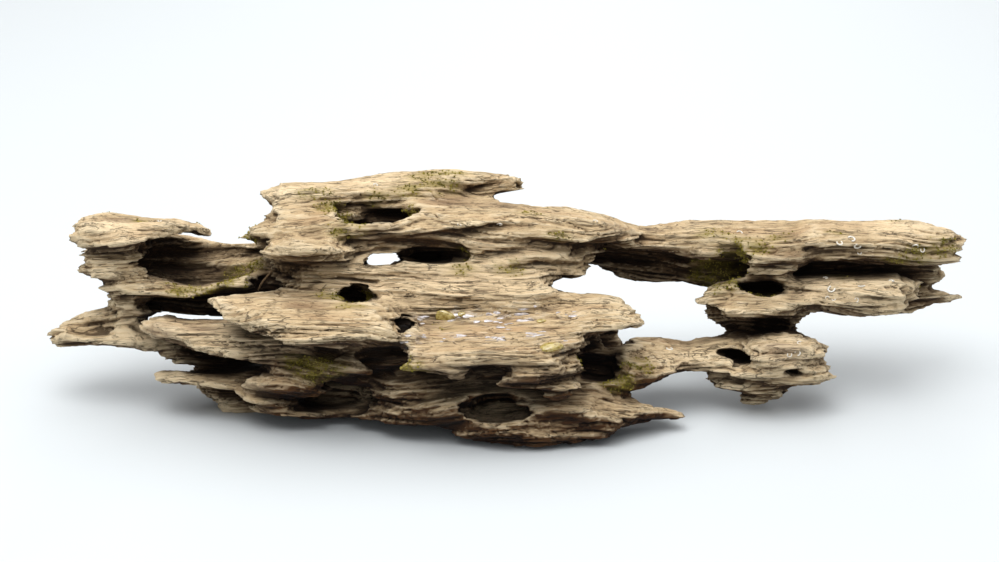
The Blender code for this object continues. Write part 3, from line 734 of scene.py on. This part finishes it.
bpy.ops.object.select_all(action="DESELECT")
bpy.ops.mesh.primitive_circle_add(
    vertices=6, radius=CAST_TUBE, fill_type="NGON",
    location=(CAST_CURL, 0, CAST_LIFT), rotation=(math.pi / 2, 0, 0),
)
cast = bpy.context.object
bpy.ops.object.transform_apply(location=True, rotation=True, scale=True)
with all_in_edit_mode(cast):
    bpy.ops.mesh.spin(steps=CAST_RINGS, angle=CAST_SWEEP, center=(0, 0, 0), axis=(0, 0, 1))
    bpy.ops.mesh.select_all(action="SELECT")
    bpy.ops.mesh.remove_doubles(threshold=DOUBLES)
    bpy.ops.mesh.normals_make_consistent(inside=False)
bpy.ops.object.shade_smooth()
stands = []
for across, up in CAST_PLACES:
    hit, facing = seen_place(across, up)
    if hit is not None:
        size = chance.uniform(0.75, 1.3)
        turn = chance.uniform(0, 2 * math.pi)
        stands.append((hit, facing, turn, (size * chance.uniform(0.7, 1.2), size, size)))
casts = copies_on(cast, "worm_casts", stands)
cast_finish, tree, shader = new_material("chalky_cast")
chalk = stretched_noise(tree, object_millimetres(tree), (0.5, 0.5, 0.5), 2.0, 0.6)
set_inputs(tree, shader, {
    "Base Color": colour_steps(tree, chalk, [(0.35, paint(206, 196, 178)), (0.6, paint(244, 240, 230))]),
    "Roughness": remap(tree, chalk, 0.3, 0.7, 0.55, 0.3),
})
add_bump(tree, shader, chalk, 0.6, 0.0001)
give_finish(casts, cast_finish)
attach(casts, "root")

# Resin oozed from the front plank and set there: four larger amber beads, and many thin films that ran a few
# millimetres along the grain, coloured whitish as a painted highlight. They are hard, glassy and stuck fast.
BEADS = [(-27, 44, 3.4), (-19, 45.5, 1.4), (21, 42, 1.7), (26, 29, 4.0)]
FILMS_AT_EACH = 5
LOWEST_FILM_FACING = 0.1
BEAD_RADIUS = 0.001
BEAD_SHAPE = (1.5, 1.0, 0.5)
BEAD_SUNK = 0.25


def resin_drop():
    """One flattened drop of resin on the floor of its own space, wider at one end."""
    bpy.ops.object.select_all(action="DESELECT")
    bpy.ops.mesh.primitive_uv_sphere_add(segments=14, ring_count=8, radius=BEAD_RADIUS, location=(0, 0, 0))
    drop = bpy.context.object
    with all_in_edit_mode(drop):
        bpy.ops.transform.resize(value=BEAD_SHAPE)
        bpy.ops.mesh.bisect(
            plane_co=(0, 0, -BEAD_SUNK * BEAD_RADIUS), plane_no=(0, 0, 1), use_fill=True, clear_inner=True
        )
    for vertex in drop.data.vertices:
        vertex.co.y *= 1 - 0.3 * vertex.co.x / BEAD_RADIUS
        vertex.co.z *= 1 + 0.2 * vertex.co.x / BEAD_RADIUS
    bpy.ops.object.shade_smooth()
    return drop


def along_grain(facing):
    """The turn about a surface's facing that sets a drop's length along the wood's grain."""
    grain_way = upright_on(facing).transposed() @ Vector((1, 0, 0))
    return math.atan2(grain_way.y, grain_way.x)


stands = []
for across, up, size in BEADS:
    hit, facing = seen_place(across, up)
    if hit is not None:
        stands.append((hit, facing, along_grain(facing), (size, size, size)))
beads = copies_on(resin_drop(), "resin_beads", stands)
amber, tree, shader = new_material("amber_resin")
cloud = stretched_noise(tree, object_millimetres(tree), (2, 1.5, 1), 2.0, 0.5)
set_inputs(tree, shader, {
    "Base Color": colour_steps(tree, cloud, [(0.35, paint(176, 146, 52)), (0.6, paint(232, 210, 124))]),
    "Roughness": 0.07,
    "IOR": 1.54,
    "Transmission Weight": 0.45,
    "Coat Weight": 1.0,
    "Coat Roughness": 0.03,
})
give_finish(beads, amber)
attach(beads, "root")

stands = []
for across, up, radius in DAMP_PLACES:
    for _ in range(FILMS_AT_EACH):
        hit, facing = seen_place(
            across + chance.uniform(-radius, radius), up + chance.uniform(-radius, radius) * 0.4
        )
        if hit is None or facing.z < LOWEST_FILM_FACING:
            continue
        size = chance.uniform(0.35, 1.1)
        stands.append((hit, facing, along_grain(facing), (size * chance.uniform(1.0, 2.4), size, 0.5 * size)))
films = copies_on(resin_drop(), "resin_films", stands)
# Painted highlight: the films' whitish colour stands in for white glints, on top of the real gloss of their
# coat.
painted_glint_film_finish, tree, shader = new_material("resin_painted_glint")
cloud = stretched_noise(tree, object_millimetres(tree), (3, 1.2, 1), 2.0, 0.5)
set_inputs(tree, shader, {
    "Base Color": colour_steps(tree, cloud, [(0.4, paint(176, 160, 142)), (0.62, paint(240, 234, 238))]),
    "Roughness": remap(tree, cloud, 0.35, 0.65, 0.04, 0.2),
    "Transmission Weight": 0.3,
    "Coat Weight": 1.0,
    "Coat Roughness": 0.03,
})
give_finish(films, painted_glint_film_finish)
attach(films, "root")

# A broken twig is wedged across the dark pocket on the left. It is a dry brown stick a little
# over a millimetre thick, tapered and knotty, and its two ends bear on the pocket's walls.
TWIG_ENDS = [(-113.5, 67), (-120.5, 57.5)]
TWIG_RADIUS = 0.0007
TWIG_SPARE = 1.06
TWIG_FORWARD = 0.0006
TWIG_BOW = 0.9
TWIG_TAPER = 0.03
KNOT_SPACING = 2.2

ends = [seen_place(*end)[0] for end in TWIG_ENDS]
span = ends[1] - ends[0]
bpy.ops.object.select_all(action="DESELECT")
bpy.ops.mesh.primitive_cylinder_add(
    vertices=8, radius=TWIG_RADIUS, depth=span.length * TWIG_SPARE,
    location=(ends[0] + ends[1]) / 2 - look * TWIG_FORWARD,
    rotation=span.to_track_quat("Z", "Y").to_euler(), end_fill_type="TRIFAN",
)
twig = bpy.context.object
twig.name = twig.data.name = "twig"
with all_in_edit_mode(twig):
    bpy.ops.mesh.subdivide(number_cuts=7, smoothness=0)
bpy.ops.object.transform_apply(location=True, rotation=True, scale=True)
twig_points = points_of(twig.data)
first_end, twig_way = np.array(ends[0]) * 1000, np.array(span.normalized())
along = (twig_points - first_end) @ twig_way
core = first_end + along[:, None] * twig_way
off_line = [along * 0 + 3.3, along * 0 + 1.7]
knots = 1 + 0.25 * gradient_noise([along, *off_line], (KNOT_SPACING, 1, 1), 61) - TWIG_TAPER * along
bow = TWIG_BOW * np.sin(along / span.length / 1000 * math.pi)[:, None] * np.array(up_in_view.cross(look))
put_points(twig.data, core + (twig_points - core) * knots[:, None] + bow)
bpy.ops.object.shade_smooth()
twig_finish, tree, shader = new_material("dry_twig")
bark = stretched_noise(tree, object_millimetres(tree), (0.5, 0.5, 2.2), 3.0, 0.6)
set_inputs(tree, shader, {
    "Base Color": colour_steps(tree, bark, [(0.35, paint(70, 52, 34)), (0.65, paint(150, 122, 86))]),
    "Roughness": 0.85,
})
add_bump(tree, shader, bark, 0.8, 0.0002)
give_finish(twig, twig_finish)
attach(twig, "root")

# The floor is a plain pale sheet. A very wide soft lamp like a bright ceiling lights it, with a
# smaller one above the front for the shadows, a faint one behind, and an even glow all round.
FLOOR_SIZE = 8
LAMP_AIM = Vector((0, 0, 0.05))
LAMPS = [
    ("overhead", (-0.25, -0.3, 1.35), 1.0, 8.5),
    ("ceiling", (0, 0.1, 1.7), 3.6, 51),
    ("behind", (0.1, 1.5, 0.75), 0.6, 4),
]
GLOW_COLOUR = (0.96, 0.98, 1, 1)
GLOW_STRENGTH = 0.42

bpy.ops.object.select_all(action="DESELECT")
bpy.ops.mesh.primitive_plane_add(size=FLOOR_SIZE, location=(0, 0, 0))
floor = bpy.context.object
floor.name = "floor"
floor_finish, tree, shader = new_material("pale_floor")
set_inputs(tree, shader, {"Base Color": (0.6, 0.63, 0.643, 1), "Roughness": 0.7})
give_finish(floor, floor_finish)
for name, place, size, power in LAMPS:
    lamp = bpy.data.objects.new(name, bpy.data.lights.new(name, "AREA"))
    bpy.context.scene.collection.objects.link(lamp)
    lamp.data.shape = "DISK"
    lamp.data.size = size
    lamp.data.energy = power
    lamp.location = place
    lamp.rotation_mode = "QUATERNION"
    lamp.rotation_quaternion = (LAMP_AIM - Vector(place)).to_track_quat("-Z", "Y")
world = bpy.data.worlds.new("studio")
bpy.context.scene.world = world
world.use_nodes = True
set_inputs(world.node_tree, world.node_tree.nodes["Background"], {0: GLOW_COLOUR, 1: GLOW_STRENGTH})
